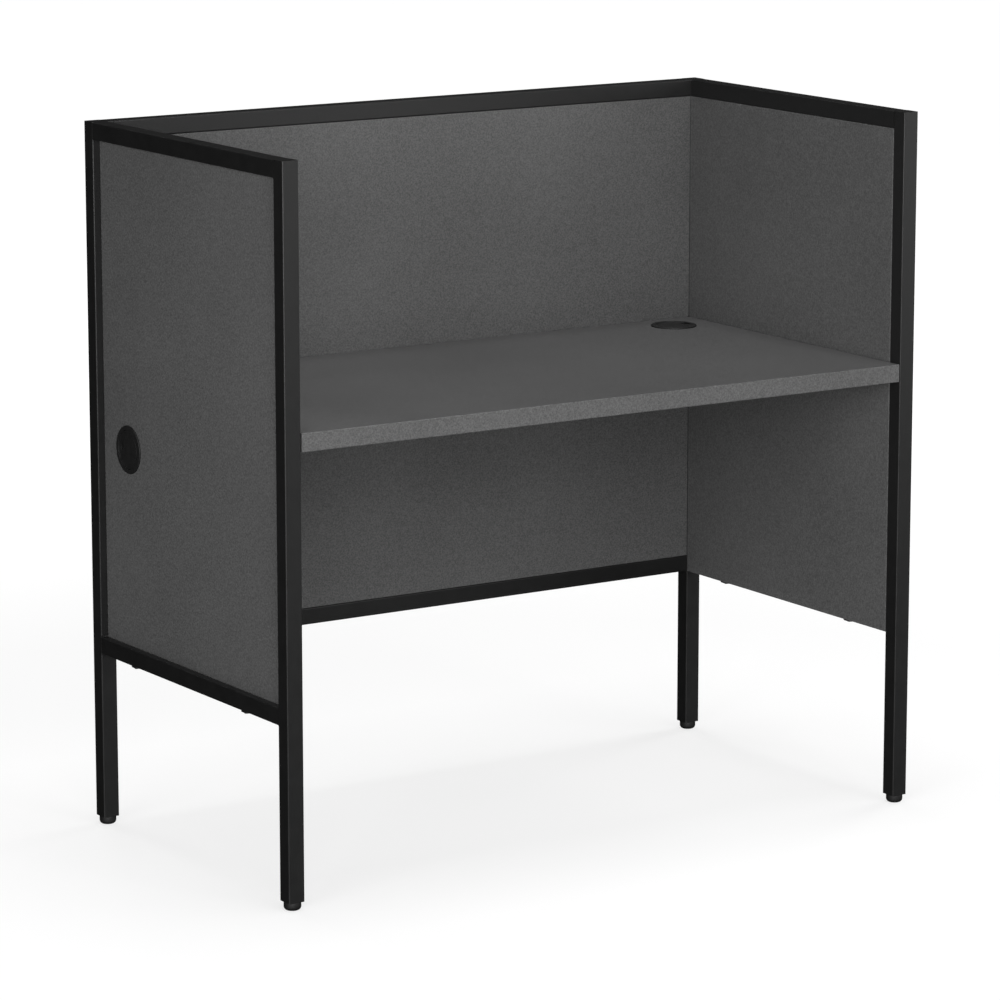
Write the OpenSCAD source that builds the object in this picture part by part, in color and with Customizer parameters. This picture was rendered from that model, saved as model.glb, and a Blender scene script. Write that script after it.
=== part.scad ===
// Study carrel: a desk between two side screens and a rear screen.
// A welded square-tube frame carries laminated panels, a worktop on steel cleats,
// cable grommets with turning caps, and four screw-adjusted levelling feet.
// Origin: on the floor, at the middle of the footprint. +Z is up and the open front faces -Y.

/* [Overall] */
// Width over the posts
overall_w = 1220; // [900:1:1600]
// Height from the floor to the top of the frame
overall_h = 1182; // [1050:1:1450]
// Depth of the worktop, from its front edge to the rear panel
worktop_depth = 609.6; // [480:0.1:760]
// Height of the worktop's top face above the floor
worktop_h = 760; // [680:1:850]

/* [Frame] */
// Side of the square tube
tube = 28.6; // [26:0.1:36]
// Wall of every tube
tube_wall = 1.5; // [1.2:0.1:2]
// Outside corner radius of every tube
tube_r = 2; // [1.5:0.1:4]
// Height of the bottom rails' underside above the floor
bottom_rail_z = 296; // [150:1:420]
// Thickness of the plates that close the posts' tops
top_plate_t = 2; // [1.5:0.1:4]

/* [Panels] */
// Thickness of the side and rear panels
panel_t = 15.9; // [12:0.1:19]
// Gap between a panel's edge and the tube beside it
panel_fit = 0.5; // [0.2:0.1:0.9]
// Thickness of the edging glued round each panel
panel_edging_t = 1; // [0.5:0.1:2]
// Length of the studs under the side top rails
stud_len = 12; // [8:1:20]
// Diameter of those studs
stud_d = 6; // [4:0.5:8]
// Radial gap round a stud in its hole
stud_fit = 0.3; // [0.1:0.1:0.8]
// Gap between a stud's end and the bottom of its hole
stud_end_gap = 1; // [0.5:0.5:3]
// Distance of the studs and bottom clips from the posts
side_fixing_inset = 110; // [60:5:180]

/* [Worktop] */
// Thickness of the worktop
worktop_t = 30; // [24:0.5:40]
// Gap round the worktop's sides and rear
worktop_fit = 2; // [0.5:0.5:4]
// Thickness of the edging on the worktop's front
front_edging_t = 2; // [1.5:0.1:3]
// Thickness of the edging on its sides and rear
side_edging_t = 1; // [0.5:0.1:2]
// Rounding of the front edging's long edges
front_edging_r = 1.5; // [0.5:0.1:1.5]
// Leg of the angle cleats under the worktop
cleat_leg = 30; // [25:1:40]
// Thickness of the cleats
cleat_t = 3; // [2:0.5:4]
// Distance of the side cleats' front ends behind the worktop's front edge
cleat_setback = 130; // [80:5:250]
// Gap between a side cleat's rear end and the rear panel
cleat_end_gap = 5; // [2:1:15]
// Distance of the outer panel screws from the ends of a side cleat
side_cleat_inset = 30; // [15:5:50]
// Distance of the outer worktop screws from the same ends
side_worktop_inset = 60; // [55:5:90]
// Distance of the outer panel screws from the ends of the rear cleat
rear_cleat_inset = 60; // [20:5:70]
// Distance of the outer worktop screws from the same ends
rear_worktop_inset = 100; // [80:5:160]
// Distance of the worktop screws from the panel beside them
worktop_screw_out = 18; // [14:1:24]

/* [Small metal] */
// Thickness of the clips that hold the panels
clip_t = 2; // [1.5:0.1:2.5]
// Width of the clips
clip_w = 26; // [20:1:40]
// Length of the rear clips' leg on the panel
clip_leg = 20; // [16:1:30]
// Distance of the screw in that leg from the tube above it
clip_screw_drop = 12; // [9:0.5:14]
// Gap between a clip's end and the face of the board or frame beyond it
clip_end_gap = 0.5; // [0.3:0.1:1]
// Distance of the upper and lower rear clips from the middle of the panel
rear_clip_x = 360; // [200:5:400]
// Diameter of every screw
screw_d = 4; // [3:0.5:5]
// Diameter of the screws' pan heads
screw_head_d = 7.6; // [6:0.1:9]
// Height of the screws' pan heads
screw_head_h = 2.2; // [1.5:0.1:3]
// Rounding of the heads' rim
screw_head_r = 1.4; // [0.8:0.1:1.4]
// Length of the cross recess in a head
cross_len = 4.2; // [3:0.1:5]
// Width of its two slots
cross_w = 1; // [0.8:0.1:1.3]
// Depth of the same slots
cross_depth = 1.2; // [0.8:0.1:1.4]
// Gap between a screw's head and the leg of the clip beside it
head_gap = 0.3; // [0.1:0.1:0.6]
// Length of screw left inside what it fastens
screw_bite = 12; // [8:1:13]
// Radial gap round a screw in its hole
screw_fit = 0.05; // [0.02:0.01:0.2]

/* [Feet] */
// Height of the posts' lower ends above the floor, with the feet screwed in
foot_h = 14; // [12:0.5:20]
// Diameter of the foot pads
pad_d = 28; // [24:0.5:32]
// Gap between a pad and the post above it
pad_gap = 0.6; // [0.4:0.1:1.5]
// Rounding of the pads' lower edge
pad_edge_r = 6; // [2:0.5:6]
// Rounding of the pads' upper edge
pad_top_r = 1; // [0.5:0.1:2]
// Diameter of the threaded studs
foot_stud_d = 8; // [6:1:10]
// Radial running gap between a stud and its insert
foot_stud_fit = 0.08; // [0.02:0.01:0.1]
// Diameter of the round foot of a stud, held inside the pad
stud_foot_d = 14; // [12:0.5:16]
// Thickness of that round foot
stud_foot_t = 3; // [2:0.5:4]
// Gap all round it inside the pad
pad_socket_fit = 0.3; // [0.2:0.05:0.5]
// Thickness of the pad under its socket
pad_sole_t = 5; // [3:0.5:6]
// Width across the flats of the studs' hexagon
hex_af = 13; // [11:1:14]
// Thickness of the hexagon
hex_t = 4.5; // [3:0.5:6]
// Radial gap round the hexagon in its recess
hex_fit = 0.5; // [0.3:0.1:1]
// Height of the inserts in the posts' lower ends
insert_h = 36; // [30:1:60]
// Gap between an insert and the inside of its tube, each side
insert_fit = 0.1; // [0.05:0.05:0.3]
// Corner radius of the inserts
insert_r = 1; // [0.8:0.1:2]
// Length of stud above its insert, with the feet screwed in
stud_spare = 10; // [2:1:20]

/* [Grommets] */
// Diameter of the grommets' flange
flange_d = 80; // [74:1:100]
// Height of the flange above the board
flange_t = 2.6; // [2:0.1:4]
// Rounding of the flange's outer edge
flange_r = 1.6; // [0.5:0.1:2]
// Rounding of the rims where the cap meets the flange
rim_r = 0.5; // [0.2:0.1:0.8]
// Diameter of the hole through the board
hole_d = 70; // [66:0.5:72]
// Radial gap between the liner's sleeve and its hole
liner_fit = 0.3; // [0.1:0.1:0.6]
// Wall of the liner's sleeve
liner_wall = 2.2; // [1.6:0.1:3]
// Depth of the sleeve below the board's surface
liner_depth = 14; // [12:0.5:15]
// Width of the ledge that the cap sits on
ledge_w = 2.6; // [2:0.1:4]
// Thickness of that ledge
ledge_t = 2; // [1.5:0.1:3]
// Thickness of the cap's disc
cap_t = 2.8; // [2:0.1:4]
// Distance of the cap's face below the top of the flange
cap_recess = 0.5; // [0.2:0.1:1.5]
// Gap between the cap and the liner
cap_fit = 0.3; // [0.2:0.05:0.5]
// Wall of the cap's skirt
skirt_t = 2; // [1.5:0.1:3]
// Depth of the skirt below the disc
skirt_h = 7; // [4:0.5:8]
// Width of the cable notch in the cap
notch_w = 19; // [12:0.5:24]
// Depth of the notch from the cap's rim
notch_depth = 15; // [12:0.5:20]
// Distance of every grommet's centre from the panel it is named below as being beside
grommet_side = 84; // [60:1:120]
// Distance of the worktop grommets' centres from the rear panel
grommet_rear = 72; // [55:1:120]
// Gap between a side cleat and the panel hole below it
panel_hole_gap = 12; // [6:1:40]

/* [Hidden] */
$fn = 64;
overlap = 0.5;
overall_d = worktop_depth + tube;
post_x = overall_w / 2 - tube / 2;
post_y = overall_d / 2 - tube / 2;
inner_x = overall_w / 2 - tube;
inner_y = overall_d / 2 - tube;
inner_r = max(tube_r - tube_wall, 0.3);
recess = tube - panel_t;
rail_under = overall_h - tube;
panel_mid_x = inner_x + panel_t / 2;
panel_half_y = inner_y - panel_fit;
panel_top = rail_under - panel_fit;
rear_panel_half_x = inner_x - panel_fit;
rear_panel_bottom = bottom_rail_z + tube + panel_fit;
worktop_under = worktop_h - worktop_t;
worktop_half_x = inner_x - worktop_fit;
worktop_front = -overall_d / 2;
worktop_rear = inner_y - worktop_fit;
cleat_front = worktop_front + cleat_setback;
cleat_rear = inner_y - cleat_end_gap;
rear_cleat_half_x = inner_x - cleat_leg - 2 * cleat_end_gap;
screw_len = clip_t + screw_bite;
side_fixing_y = inner_y - side_fixing_inset;
rear_clip_depth = recess - clip_end_gap;
insert_side = tube - 2 * tube_wall - 2 * insert_fit;
hex_recess_d = hex_af / cos(30) + 2 * hex_fit;
hex_recess_h = hex_t + 2 * hex_fit;
socket_d = stud_foot_d + 2 * pad_socket_fit;
socket_h = stud_foot_t + 2 * pad_socket_fit;
pad_h = foot_h - pad_gap;
sleeve_r = hole_d / 2 - liner_fit;
bore_r = sleeve_r - liner_wall;
ledge_r = bore_r - ledge_w;
cap_r = bore_r - cap_fit;
cap_top = flange_t - cap_recess;
skirt_r = ledge_r - cap_fit;
ledge_top = cap_top - cap_t - cap_fit;
worktop_grommet_x = inner_x - grommet_side;
worktop_grommet_y = inner_y - grommet_rear;
panel_grommet_y = inner_y - grommet_side;
panel_grommet_z = worktop_under - cleat_leg - panel_hole_gap - hole_d / 2;
frame_black = [0.045, 0.045, 0.047];
board_grey = [0.25, 0.25, 0.26];
plastic_black = [0.06, 0.06, 0.06];
zinc = [0.62, 0.62, 0.64];

// ---- helpers ----

// Points of an arc about c, from angle a0 to a1
function arc(c, r, a0, a1, steps = 6) =
  [for (i = [0 : steps]) c + r * [cos(a0 + (a1 - a0) * i / steps), sin(a0 + (a1 - a0) * i / steps)]];

// Evenly spaced places between two ends
function spread(lo, hi, count) = [for (i = [0 : count - 1]) lo + (hi - lo) * i / (count - 1)];

// side 1 draws the right-hand piece and side -1 its mirror image
module on_side(side) {
  mirror([side < 0 ? 1 : 0, 0, 0]) children();
}

module rounded_rect(w, h, r) {
  square([w - 2 * r, h], center = true);
  square([w, h - 2 * r], center = true);
  for (x = [-1, 1], y = [-1, 1])
    translate([x * (w / 2 - r), y * (h / 2 - r)]) circle(r = r);
}

module tube_profile(w, h) {
  difference() {
    rounded_rect(w, h, tube_r);
    rounded_rect(w - 2 * tube_wall, h - 2 * tube_wall, inner_r);
  }
}

// Tube along +Y whose section is w wide in X and h high in Z
module tube_along_y(w, h, length) {
  rotate([-90, 0, 0]) linear_extrude(length) tube_profile(w, h);
}

// Pan-head screw: the head sits below z = 0 and the shank runs up +Z
module screw(length) {
  color(zinc) difference() {
    rotate_extrude() polygon(concat(
      [[0, length], [0, -screw_head_h]],
      arc([screw_head_d / 2 - screw_head_r, screw_head_r - screw_head_h], screw_head_r, -90, 0),
      [[screw_head_d / 2, 0], [screw_d / 2, 0], [screw_d / 2, length - screw_d]]));
    for (turn = [0, 90])
      rotate(turn) translate([0, 0, -screw_head_h])
        cube([cross_len, cross_w, 2 * cross_depth], center = true);
  }
}

// The hole that the same screw needs
module screw_hole(length) {
  translate([0, 0, -overlap]) cylinder(r = screw_d / 2 + screw_fit, h = length + 2 * overlap);
}

// ---- frame ----

module post(side, row) {
  color(frame_black) difference() {
    translate([side * post_x, row * post_y, foot_h])
      linear_extrude(overall_h - top_plate_t - foot_h) tube_profile(tube, tube);
    if (row > 0) at_rear_clips() frame_screw_place() screw_hole(screw_len);
  }
}

module post_top_plates() {
  color(frame_black)
    for (side = [-1, 1], row = [-1, 1])
      translate([side * post_x, row * post_y, overall_h - top_plate_t])
        linear_extrude(top_plate_t) rounded_rect(tube, tube, tube_r);
}

module side_top_rail(side) {
  color(frame_black)
    translate([side * post_x, -inner_y, overall_h - tube / 2]) tube_along_y(tube, tube, 2 * inner_y);
}

module side_bottom_rail(side) {
  color(frame_black) on_side(side) difference() {
    translate([overall_w / 2 - recess / 2, -inner_y, bottom_rail_z + tube / 2])
      tube_along_y(recess, tube, 2 * inner_y);
    at_side_clips() rail_screw_place() screw_hole(screw_len);
  }
}

// height is that of the rail's underside
module rear_rail(height) {
  color(frame_black) difference() {
    translate([-inner_x, post_y, height + tube / 2])
      rotate([0, 90, 0]) linear_extrude(2 * inner_x) tube_profile(tube, tube);
    at_rear_clips() frame_screw_place() screw_hole(screw_len);
  }
}

// ---- panels ----

// Two studs under each side top rail, which the side panels push up onto
module panel_top_studs() {
  color(zinc) for (side = [-1, 1], row = [-1, 1])
    translate([side * panel_mid_x, row * side_fixing_y, rail_under - stud_len])
      cylinder(d = stud_d, h = stud_len);
}

module stud_holes() {
  for (row = [-1, 1])
    translate([panel_mid_x, row * side_fixing_y, rail_under - stud_len - stud_end_gap])
      cylinder(d = stud_d + 2 * stud_fit, h = stud_len + stud_end_gap + overlap);
}

// Board of the right-hand side panel, without its edging
module side_panel(side) {
  color(board_grey) on_side(side) difference() {
    translate([inner_x, -panel_half_y + panel_edging_t, bottom_rail_z + panel_edging_t])
      cube([panel_t, 2 * (panel_half_y - panel_edging_t), panel_top - bottom_rail_z - 2 * panel_edging_t]);
    stud_holes();
    at_side_clips() panel_screw_place() screw_hole(screw_len);
    at_side_cleat_screws() screw_hole(cleat_t + screw_bite);
    at_panel_grommet() translate([0, 0, -panel_t - overlap])
      cylinder(d = hole_d, h = panel_t + 2 * overlap);
  }
}

module side_panel_edging(side) {
  strip_h = panel_top - bottom_rail_z - 2 * panel_edging_t;
  color(board_grey) on_side(side) difference() {
    union() {
      for (z = [bottom_rail_z, panel_top - panel_edging_t])
        translate([inner_x, -panel_half_y, z]) cube([panel_t, 2 * panel_half_y, panel_edging_t]);
      for (y = [-panel_half_y, panel_half_y - panel_edging_t])
        translate([inner_x, y, bottom_rail_z + panel_edging_t]) cube([panel_t, panel_edging_t, strip_h]);
    }
    stud_holes();
    at_side_clips() panel_screw_place() screw_hole(screw_len);
  }
}

module rear_panel() {
  color(board_grey) difference() {
    translate([-rear_panel_half_x + panel_edging_t, inner_y, rear_panel_bottom + panel_edging_t])
      cube([2 * (rear_panel_half_x - panel_edging_t), panel_t,
            panel_top - rear_panel_bottom - 2 * panel_edging_t]);
    at_rear_clips() board_screw_place() screw_hole(screw_len);
    at_rear_cleat_screws() screw_hole(cleat_t + screw_bite);
  }
}

module rear_panel_edging() {
  strip_h = panel_top - rear_panel_bottom - 2 * panel_edging_t;
  color(board_grey) {
    for (z = [rear_panel_bottom, panel_top - panel_edging_t])
      translate([-rear_panel_half_x, inner_y, z]) cube([2 * rear_panel_half_x, panel_t, panel_edging_t]);
    for (x = [-rear_panel_half_x, rear_panel_half_x - panel_edging_t])
      translate([x, inner_y, rear_panel_bottom + panel_edging_t]) cube([panel_edging_t, panel_t, strip_h]);
  }
}

// ---- panel clips ----

// Flat clips under the side panels, screwed to the rail and to the panel's lower edge
module at_side_clips() {
  for (row = [-1, 1])
    translate([inner_x, row * side_fixing_y, bottom_rail_z - clip_t]) children();
}

module rail_screw_place() {
  translate([panel_t + recess / 2, 0, 0]) children();
}

module panel_screw_place() {
  translate([panel_t / 2, 0, 0]) children();
}

module side_panel_clips() {
  color(frame_black) for (side = [-1, 1])
    on_side(side) difference() {
      at_side_clips() translate([clip_end_gap, -clip_w / 2, 0])
        cube([tube - 2 * clip_end_gap, clip_w, clip_t]);
      at_side_clips() rail_screw_place() screw_hole(screw_len);
      at_side_clips() panel_screw_place() screw_hole(screw_len);
    }
}

module side_panel_clip_screws() {
  for (side = [-1, 1])
    on_side(side) at_side_clips() {
      rail_screw_place() screw(screw_len);
      panel_screw_place() screw(screw_len);
    }
}

// Angle clips in the recess behind the rear panel: two above, two below, one at each post.
// A clip is drawn under a tube, with the panel's rear face at y = 0 and the tube's face at z = 0.
module at_rear_clips() {
  middle = (rear_panel_bottom + panel_top) / 2;
  for (x = [-rear_clip_x, rear_clip_x]) {
    translate([x, inner_y + panel_t, rail_under]) children();
    translate([x, inner_y + panel_t, bottom_rail_z + tube]) rotate([0, 180, 0]) children();
  }
  for (side = [-1, 1])
    translate([side * inner_x, inner_y + panel_t, middle]) rotate([0, side * 90, 0]) children();
}

module board_screw_place() {
  translate([0, clip_t, -clip_screw_drop]) rotate([90, 0, 0]) children();
}

module frame_screw_place() {
  translate([0, clip_t + head_gap + screw_head_d / 2, -clip_t]) children();
}

module rear_panel_clips() {
  color(frame_black) difference() {
    at_rear_clips() {
      translate([-clip_w / 2, 0, -clip_leg]) cube([clip_w, clip_t, clip_leg]);
      translate([-clip_w / 2, 0, -clip_t]) cube([clip_w, rear_clip_depth, clip_t]);
    }
    at_rear_clips() board_screw_place() screw_hole(screw_len);
    at_rear_clips() frame_screw_place() screw_hole(screw_len);
  }
}

module rear_panel_clip_screws() {
  at_rear_clips() {
    board_screw_place() screw(screw_len);
    frame_screw_place() screw(screw_len);
  }
}

// ---- worktop ----

module at_worktop_grommets() {
  for (side = [-1, 1])
    translate([side * worktop_grommet_x, worktop_grommet_y, worktop_h]) children();
}

module worktop() {
  board_half_x = worktop_half_x - side_edging_t;
  front = worktop_front + front_edging_t;
  rear = worktop_rear - side_edging_t;
  color(board_grey) difference() {
    translate([-board_half_x, front, worktop_under]) cube([2 * board_half_x, rear - front, worktop_t]);
    at_worktop_grommets() translate([0, 0, -worktop_t - overlap])
      cylinder(d = hole_d, h = worktop_t + 2 * overlap);
    at_worktop_screws() screw_hole(cleat_t + screw_bite);
  }
}

module worktop_front_edging() {
  t = front_edging_t;
  h = worktop_t;
  r = front_edging_r;
  color(board_grey)
    translate([-worktop_half_x, worktop_front + t, worktop_under])
      rotate([0, 90, 0]) mirror([1, 0]) linear_extrude(2 * worktop_half_x) {
        translate([0, r - t]) square([h, t - r]);
        translate([r, -t]) square([h - 2 * r, t]);
        for (x = [r, h - r])
          translate([x, r - t]) intersection() {
            circle(r = r);
            translate([-r, -r]) square([2 * r, r]);
          }
      }
}

module worktop_side_edging() {
  front = worktop_front + front_edging_t;
  depth = worktop_rear - front;
  color(board_grey) {
    for (x = [-worktop_half_x, worktop_half_x - side_edging_t])
      translate([x, front, worktop_under]) cube([side_edging_t, depth, worktop_t]);
    translate([-worktop_half_x + side_edging_t, worktop_rear - side_edging_t, worktop_under])
      cube([2 * (worktop_half_x - side_edging_t), side_edging_t, worktop_t]);
  }
}

// ---- cleats ----

// Angle section: one leg up the panel on the right, the other under the worktop
module cleat_profile() {
  translate([-cleat_leg, cleat_leg - cleat_t]) square([cleat_leg, cleat_t]);
  translate([-cleat_t, 0]) square([cleat_t, cleat_leg]);
}

module at_side_cleat_screws() {
  for (y = spread(cleat_front + side_cleat_inset, cleat_rear - side_cleat_inset, 3))
    translate([inner_x - cleat_t, y, worktop_under - cleat_leg / 2]) rotate([0, 90, 0]) children();
}

module at_rear_cleat_screws() {
  for (x = spread(rear_cleat_inset - rear_cleat_half_x, rear_cleat_half_x - rear_cleat_inset, 4))
    translate([x, inner_y - cleat_t, worktop_under - cleat_leg / 2]) rotate([-90, 0, 0]) children();
}

// Screws up into the worktop, clear of those into the panels
module at_worktop_screws() {
  for (side = [-1, 1], y = spread(cleat_front + side_worktop_inset, cleat_rear - side_worktop_inset, 3))
    translate([side * (inner_x - worktop_screw_out), y, worktop_under - cleat_t]) children();
  for (x = spread(rear_worktop_inset - rear_cleat_half_x, rear_cleat_half_x - rear_worktop_inset, 4))
    translate([x, inner_y - worktop_screw_out, worktop_under - cleat_t]) children();
}

module side_cleat(side) {
  color(frame_black) difference() {
    on_side(side) translate([inner_x, cleat_rear, worktop_under - cleat_leg])
      rotate([90, 0, 0]) linear_extrude(cleat_rear - cleat_front) cleat_profile();
    on_side(side) at_side_cleat_screws() screw_hole(cleat_t + screw_bite);
    at_worktop_screws() screw_hole(cleat_t + screw_bite);
  }
}

module rear_cleat() {
  color(frame_black) difference() {
    translate([-rear_cleat_half_x, inner_y, worktop_under - cleat_leg])
      rotate([90, 0, 90]) linear_extrude(2 * rear_cleat_half_x) cleat_profile();
    at_rear_cleat_screws() screw_hole(cleat_t + screw_bite);
    at_worktop_screws() screw_hole(cleat_t + screw_bite);
  }
}

module cleat_panel_screws() {
  for (side = [-1, 1])
    on_side(side) at_side_cleat_screws() screw(cleat_t + screw_bite);
  at_rear_cleat_screws() screw(cleat_t + screw_bite);
}

module cleat_worktop_screws() {
  at_worktop_screws() screw(cleat_t + screw_bite);
}

// ---- levelling feet ----

module at_foot(side, row) {
  translate([side * post_x, row * post_y, 0]) children();
}

module insert(side, row) {
  color(plastic_black) at_foot(side, row) translate([0, 0, foot_h]) difference() {
    linear_extrude(insert_h) rounded_rect(insert_side, insert_side, insert_r);
    translate([0, 0, -overlap]) cylinder(d = foot_stud_d + 2 * foot_stud_fit, h = insert_h + 2 * overlap);
    translate([0, 0, -overlap]) cylinder(d = hex_recess_d, h = hex_recess_h + overlap);
  }
}

module foot_stud(side, row) {
  base = pad_sole_t + pad_socket_fit;
  color(zinc) at_foot(side, row) {
    translate([0, 0, base]) cylinder(d = stud_foot_d, h = stud_foot_t);
    translate([0, 0, base]) cylinder(d = foot_stud_d, h = foot_h + insert_h + stud_spare - base);
    translate([0, 0, foot_h + hex_fit]) cylinder(d = hex_af / cos(30), h = hex_t, $fn = 6);
  }
}

module foot_pad(side, row) {
  color(plastic_black) at_foot(side, row) difference() {
    rotate_extrude() polygon(concat(
      [[0, pad_h], [0, 0]],
      arc([pad_d / 2 - pad_edge_r, pad_edge_r], pad_edge_r, -90, 0, 12),
      arc([pad_d / 2 - pad_top_r, pad_h - pad_top_r], pad_top_r, 0, 90)));
    translate([0, 0, pad_sole_t]) cylinder(d = socket_d, h = socket_h);
    translate([0, 0, pad_sole_t]) cylinder(d = foot_stud_d + 2 * pad_socket_fit, h = pad_h);
  }
}

// ---- grommets ----

// A grommet is drawn with the board's surface at z = 0 and its notch towards +X
module liner_shape() {
  color(plastic_black) rotate_extrude($fn = 96) polygon(concat(
    [[bore_r, ledge_top - ledge_t], [ledge_r, ledge_top - ledge_t]],
    [[ledge_r, ledge_top], [bore_r, ledge_top]],
    arc([bore_r + rim_r, flange_t - rim_r], rim_r, 180, 90, 3),
    arc([flange_d / 2 - flange_r, flange_t - flange_r], flange_r, 90, 0),
    [[flange_d / 2, 0], [sleeve_r, 0], [sleeve_r, -liner_depth], [bore_r, -liner_depth]]));
}

module cap_shape() {
  notch_r = notch_w / 2;
  notch_centre = cap_r - notch_depth + notch_r;
  disc_under = cap_top - cap_t;
  color(plastic_black) difference() {
    rotate_extrude($fn = 96) polygon(concat(
      [[0, cap_top]],
      [[0, disc_under], [skirt_r - skirt_t, disc_under], [skirt_r - skirt_t, disc_under - skirt_h]],
      [[skirt_r, disc_under - skirt_h], [skirt_r, disc_under], [cap_r, disc_under]],
      arc([cap_r - rim_r, cap_top - rim_r], rim_r, 0, 90, 3)));
    translate([notch_centre, 0, disc_under - skirt_h - overlap])
      cylinder(r = notch_r, h = cap_t + skirt_h + 2 * overlap);
    translate([notch_centre, -notch_r, disc_under - skirt_h - overlap])
      cube([cap_r, notch_w, cap_t + skirt_h + 2 * overlap]);
  }
}

// The worktop's grommets keep their notch towards the nearer side panel
module at_worktop_grommet() {
  translate([worktop_grommet_x, worktop_grommet_y, worktop_h]) children();
}

// The side panels' grommets face outwards, with the notch towards the rear
module at_panel_grommet() {
  translate([inner_x + panel_t, panel_grommet_y, panel_grommet_z])
    rotate([0, 90, 0]) rotate(90) children();
}

post(-1, -1);  // front_left_post
post(1, -1);  // front_right_post
post(-1, 1);  // rear_left_post
post(1, 1);  // rear_right_post
side_top_rail(-1);  // left_top_rail
side_top_rail(1);  // right_top_rail
rear_rail(rail_under);  // rear_top_rail
side_bottom_rail(-1);  // left_bottom_rail
side_bottom_rail(1);  // right_bottom_rail
rear_rail(bottom_rail_z);  // rear_bottom_rail
post_top_plates();
panel_top_studs();
side_panel(-1);  // left_panel
side_panel(1);  // right_panel
rear_panel();
side_panel_edging(-1);  // left_panel_edging
side_panel_edging(1);  // right_panel_edging
rear_panel_edging();
worktop();
worktop_front_edging();
worktop_side_edging();
side_cleat(-1);  // left_cleat
side_cleat(1);  // right_cleat
rear_cleat();
cleat_panel_screws();
cleat_worktop_screws();
side_panel_clips();
side_panel_clip_screws();
rear_panel_clips();
rear_panel_clip_screws();
insert(-1, -1);  // front_left_insert
insert(1, -1);  // front_right_insert
insert(-1, 1);  // rear_left_insert
insert(1, 1);  // rear_right_insert
foot_stud(-1, -1);  // front_left_foot_stud
foot_stud(1, -1);  // front_right_foot_stud
foot_stud(-1, 1);  // rear_left_foot_stud
foot_stud(1, 1);  // rear_right_foot_stud
foot_pad(-1, -1);  // front_left_foot_pad
foot_pad(1, -1);  // front_right_foot_pad
foot_pad(-1, 1);  // rear_left_foot_pad
foot_pad(1, 1);  // rear_right_foot_pad
on_side(-1) at_worktop_grommet() liner_shape();  // worktop_left_liner
on_side(1) at_worktop_grommet() liner_shape();  // worktop_right_liner
on_side(-1) at_panel_grommet() liner_shape();  // left_panel_liner
on_side(1) at_panel_grommet() liner_shape();  // right_panel_liner
on_side(-1) at_worktop_grommet() cap_shape();  // worktop_left_cap
on_side(1) at_worktop_grommet() cap_shape();  // worktop_right_cap
on_side(-1) at_panel_grommet() cap_shape();  // left_panel_cap
on_side(1) at_panel_grommet() cap_shape();  // right_panel_cap
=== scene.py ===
# %% [markdown]
# # A study carrel
# A study carrel is a small desk with screens on three sides. This one has a
# frame of black square steel tube, grey boards held in that frame, a worktop
# with two cable grommets and a levelling foot under each post. Its solid parts
# come from a CAD model. The lesson gives each part its finish, and models again
# the small pieces that deserve more shape than the CAD model gives them.

# %% Load the frame
import math
import random
import bpy
from mathutils import Matrix, Vector


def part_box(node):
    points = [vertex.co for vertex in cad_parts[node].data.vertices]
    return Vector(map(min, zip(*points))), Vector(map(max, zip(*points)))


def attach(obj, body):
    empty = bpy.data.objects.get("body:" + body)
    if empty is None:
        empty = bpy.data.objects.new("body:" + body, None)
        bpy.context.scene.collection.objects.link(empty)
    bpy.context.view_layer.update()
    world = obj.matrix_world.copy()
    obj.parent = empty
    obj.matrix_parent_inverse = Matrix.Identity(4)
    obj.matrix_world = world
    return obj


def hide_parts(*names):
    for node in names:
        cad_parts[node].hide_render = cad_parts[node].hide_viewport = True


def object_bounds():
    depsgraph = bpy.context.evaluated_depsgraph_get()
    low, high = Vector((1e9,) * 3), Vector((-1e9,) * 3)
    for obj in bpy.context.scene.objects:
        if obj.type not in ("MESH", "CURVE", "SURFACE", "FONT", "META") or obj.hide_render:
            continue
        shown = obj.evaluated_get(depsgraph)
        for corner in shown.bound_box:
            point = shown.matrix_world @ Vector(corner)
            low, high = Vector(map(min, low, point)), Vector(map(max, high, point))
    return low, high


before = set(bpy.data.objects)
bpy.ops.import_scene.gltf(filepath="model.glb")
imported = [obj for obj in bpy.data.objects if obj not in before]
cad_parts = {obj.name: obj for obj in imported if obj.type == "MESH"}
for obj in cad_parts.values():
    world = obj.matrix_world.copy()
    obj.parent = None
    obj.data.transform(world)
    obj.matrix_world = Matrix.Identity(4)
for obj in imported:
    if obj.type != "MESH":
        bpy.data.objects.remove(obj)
cad_low, cad_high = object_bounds()
carrel_size = cad_high - cad_low
carrel_middle = (cad_low + cad_high) / 2
print("the carrel measures", [round(side, 4) for side in carrel_size])

# %% [markdown]
# ## Measures taken from the parts
# Positions are never typed in twice. The boxes of the CAD parts say where the
# posts, boards and worktop are, so every new piece can be placed from them.

# %% Measure the main parts
post_low, post_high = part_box("front_left_post")
worktop_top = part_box("worktop")[1].z
print("tube", round(post_high.x - post_low.x, 4), "worktop top", round(worktop_top, 4))

# %% [markdown]
# ## Camera
# The camera stands in front and to the left, higher than the screens, with a
# long lens, so that the upright posts stay almost parallel. It is placed by
# the way it looks: an azimuth, an elevation and a distance from its aim. The
# lights are placed in the same way, so the direction gets its own helper.

# %% Place the camera
def outward_at(azimuth, elevation):
    turn = math.radians(azimuth)
    tilt = math.radians(elevation)
    return Vector((
        math.sin(turn) * math.cos(tilt),
        -math.cos(turn) * math.cos(tilt),
        math.sin(tilt),
    ))


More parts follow.
